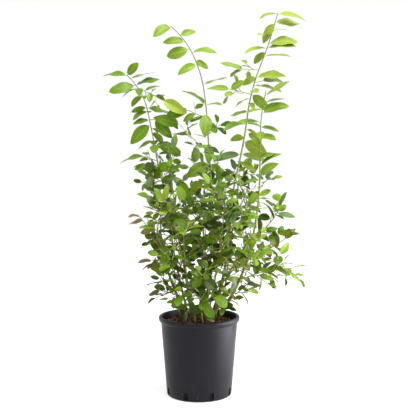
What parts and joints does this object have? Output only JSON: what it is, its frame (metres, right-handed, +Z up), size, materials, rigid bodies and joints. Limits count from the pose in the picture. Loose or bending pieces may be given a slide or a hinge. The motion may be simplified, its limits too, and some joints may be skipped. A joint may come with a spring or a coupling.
{
  "type": "potted blueberry bush",
  "caption": "Leafy highbush blueberry with several upright canes, rooted in potting mix in a round black nursery pot that stands on its flat underside.",
  "frame": {"origin": "centre of the pot's flat underside", "axes": "+Z up along the plant, +X to the right as seen in the picture, -Y towards the viewer of the picture"},
  "size_m": [0.5585, 0.403, 1.0259],
  "materials": {
    "pot_plastic": "satin moulded black plastic",
    "potting_mix": "loose moist bark compost",
    "bark": "red-brown bark below, green-brown young stem above",
    "foliage": "satin leaves, pale beneath"
  },
  "bodies": {
    "root": {"pot": "pot_plastic", "potting_mix": "potting_mix", "cane_tall_centre": "bark", "cane_tall_right": "bark", "cane_outer_right": "bark", "cane_tall_left": "bark", "cane_mid_left": "bark", "cane_mid_centre": "bark", "cane_new_shoot": "bark", "cane_woody_left": "bark", "cane_back_left": "bark", "cane_back_centre": "bark", "cane_back_right": "bark", "cane_front_left": "bark", "cane_front_right": "bark", "cane_sprout": "bark", "shoot_tall_centre": "foliage", "shoot_tall_right": "foliage", "shoot_outer_right": "foliage", "shoot_tall_left": "foliage", "shoot_mid_left": "foliage", "shoot_mid_centre": "foliage", "shoot_new_shoot": "foliage", "shoot_woody_left": "foliage", "shoot_back_left": "foliage", "shoot_back_centre": "foliage", "shoot_back_right": "foliage", "shoot_front_left": "foliage", "shoot_front_right": "foliage", "shoot_sprout": "foliage", "branch_low_left": "foliage", "branch_left_edge": "foliage", "branch_left_outer": "foliage", "branch_left_upper": "foliage", "branch_left_inner": "foliage", "branch_left_middle": "foliage", "branch_left_rear": "foliage", "branch_left_front": "foliage", "branch_left_deep": "foliage", "branch_centre_front": "foliage", "branch_centre_left": "foliage", "branch_centre_high": "foliage", "branch_centre_rear": "foliage", "branch_centre_low": "foliage", "branch_centre_deep": "foliage", "branch_right_inner": "foliage", "branch_right_rear": "foliage", "branch_right_sweep": "foliage", "branch_right_low": "foliage", "branch_right_side": "foliage", "branch_right_far": "foliage", "branch_right_front": "foliage", "branch_right_close": "foliage", "branch_back_right_low": "foliage", "branch_back_left_low": "foliage", "branch_back_low": "foliage", "branch_front_left_low": "foliage", "branch_front_right_low": "foliage", "branch_front_middle": "foliage", "branch_front_low": "foliage"}
  },
  "joints": []
}
